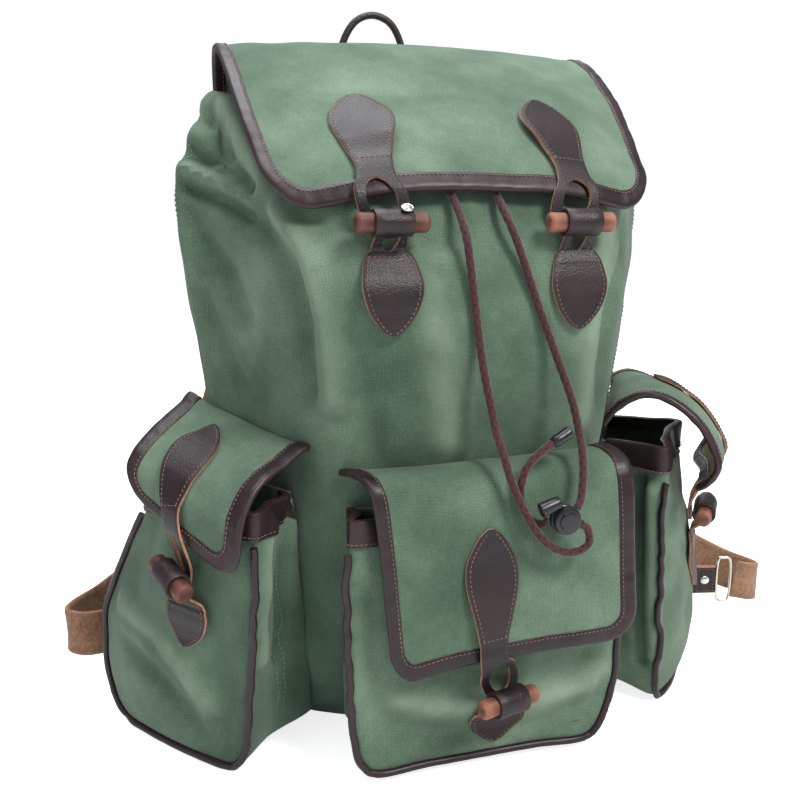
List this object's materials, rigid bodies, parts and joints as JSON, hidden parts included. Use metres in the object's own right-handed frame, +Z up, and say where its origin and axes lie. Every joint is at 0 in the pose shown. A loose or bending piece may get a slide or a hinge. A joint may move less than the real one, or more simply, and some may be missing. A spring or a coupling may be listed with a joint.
{
  "type": "rucksack",
  "caption": "Soft canvas rucksack with a leather-bound lid, toggle fasteners, flapped side and front pockets, a drawcord and shoulder straps.",
  "frame": {"origin": "on the floor plane, at the middle of the flat bottom's front part", "axes": "+Z up, the front with its pocket faces -Y, +X to the viewer's right"},
  "size_m": [0.6217, 0.3117, 0.5348],
  "materials": {
    "cord_end_lower_plastic": "near-black moulded plastic",
    "cord_end_upper_plastic": "near-black moulded plastic",
    "cord_lock_plastic": "near-black moulded plastic",
    "drawcord_left_cord": "maroon braided cord",
    "drawcord_right_cord": "maroon braided cord",
    "drawcord_tail_cord": "maroon braided cord",
    "front_flap_canvas": "matt sage-green cotton canvas",
    "front_flap_binding_leather": "dark brown waxed leather, satin",
    "front_mouth_binding_leather": "dark brown waxed leather, satin",
    "front_patch_leather": "dark brown waxed leather, satin",
    "front_pocket_canvas": "matt sage-green cotton canvas",
    "front_pocket_piping_leather": "dark brown waxed leather, satin",
    "front_tab_leather": "dark brown waxed leather, satin",
    "front_toggle_wood": "red-brown stained wood, satin",
    "front_wrap_leather": "dark brown waxed leather, satin",
    "haul_loop_leather": "dark brown waxed leather, satin",
    "lid_canvas": "matt sage-green cotton canvas",
    "lid_binding_leather": "dark brown waxed leather, satin",
    "lid_patch_left_leather": "dark brown waxed leather, satin",
    "lid_patch_right_leather": "dark brown waxed leather, satin",
    "lid_tab_left_leather": "dark brown waxed leather, satin",
    "lid_tab_right_leather": "dark brown waxed leather, satin",
    "lid_toggle_left_wood": "red-brown stained wood, satin",
    "lid_toggle_right_wood": "red-brown stained wood, satin",
    "lid_wrap_left_leather": "dark brown waxed leather, satin",
    "lid_wrap_right_leather": "dark brown waxed leather, satin",
    "main_bag_canvas": "matt sage-green cotton canvas",
    "shoulder_strap_left_suede": "brown suede, matt",
    "shoulder_strap_right_suede": "brown suede, matt",
    "side_flap_left_canvas": "matt sage-green cotton canvas",
    "side_flap_left_binding_leather": "dark brown waxed leather, satin",
    "side_flap_right_canvas": "matt sage-green cotton canvas",
    "side_flap_right_binding_leather": "dark brown waxed leather, satin",
    "side_left_patch_leather": "dark brown waxed leather, satin",
    "side_left_tab_leather": "dark brown waxed leather, satin",
    "side_left_toggle_wood": "red-brown stained wood, satin",
    "side_left_wrap_leather": "dark brown waxed leather, satin",
    "side_mouth_left_binding_leather": "dark brown waxed leather, satin",
    "side_mouth_right_binding_leather": "dark brown waxed leather, satin",
    "side_pocket_left_canvas": "matt sage-green cotton canvas",
    "side_pocket_left_piping_leather": "dark brown waxed leather, satin",
    "side_pocket_right_canvas": "matt sage-green cotton canvas",
    "side_pocket_right_piping_leather": "dark brown waxed leather, satin",
    "side_right_patch_leather": "dark brown waxed leather, satin",
    "side_right_tab_leather": "dark brown waxed leather, satin",
    "side_right_toggle_wood": "red-brown stained wood, satin",
    "side_right_wrap_leather": "dark brown waxed leather, satin",
    "strap_anchor_left_leather": "dark brown waxed leather, satin",
    "strap_anchor_right_leather": "dark brown waxed leather, satin",
    "strap_ring_left_nickel": "nickel-plated wire",
    "strap_ring_right_nickel": "nickel-plated wire",
    "strap_wing_left_canvas": "matt sage-green cotton canvas",
    "strap_wing_right_canvas": "matt sage-green cotton canvas"
  },
  "bodies": {
    "root": {"cord_end_lower": "cord_end_lower_plastic", "cord_end_upper": "cord_end_upper_plastic", "cord_lock": "cord_lock_plastic", "drawcord_left": "drawcord_left_cord", "drawcord_right": "drawcord_right_cord", "drawcord_tail": "drawcord_tail_cord", "front_flap": "front_flap_canvas", "front_flap_binding": "front_flap_binding_leather", "front_mouth_binding": "front_mouth_binding_leather", "front_patch": "front_patch_leather", "front_pocket": "front_pocket_canvas", "front_pocket_piping": "front_pocket_piping_leather", "front_tab": "front_tab_leather", "front_toggle": "front_toggle_wood", "front_wrap": "front_wrap_leather", "haul_loop": "haul_loop_leather", "lid": "lid_canvas", "lid_binding": "lid_binding_leather", "lid_patch_left": "lid_patch_left_leather", "lid_patch_right": "lid_patch_right_leather", "lid_tab_left": "lid_tab_left_leather", "lid_tab_right": "lid_tab_right_leather", "lid_toggle_left": "lid_toggle_left_wood", "lid_toggle_right": "lid_toggle_right_wood", "lid_wrap_left": "lid_wrap_left_leather", "lid_wrap_right": "lid_wrap_right_leather", "main_bag": "main_bag_canvas", "shoulder_strap_left": "shoulder_strap_left_suede", "shoulder_strap_right": "shoulder_strap_right_suede", "side_flap_left": "side_flap_left_canvas", "side_flap_left_binding": "side_flap_left_binding_leather", "side_flap_right": "side_flap_right_canvas", "side_flap_right_binding": "side_flap_right_binding_leather", "side_left_patch": "side_left_patch_leather", "side_left_tab": "side_left_tab_leather", "side_left_toggle": "side_left_toggle_wood", "side_left_wrap": "side_left_wrap_leather", "side_mouth_left_binding": "side_mouth_left_binding_leather", "side_mouth_right_binding": "side_mouth_right_binding_leather", "side_pocket_left": "side_pocket_left_canvas", "side_pocket_left_piping": "side_pocket_left_piping_leather", "side_pocket_right": "side_pocket_right_canvas", "side_pocket_right_piping": "side_pocket_right_piping_leather", "side_right_patch": "side_right_patch_leather", "side_right_tab": "side_right_tab_leather", "side_right_toggle": "side_right_toggle_wood", "side_right_wrap": "side_right_wrap_leather", "strap_anchor_left": "strap_anchor_left_leather", "strap_anchor_right": "strap_anchor_right_leather", "strap_ring_left": "strap_ring_left_nickel", "strap_ring_right": "strap_ring_right_nickel", "strap_wing_left": "strap_wing_left_canvas", "strap_wing_right": "strap_wing_right_canvas"}
  },
  "joints": []
}
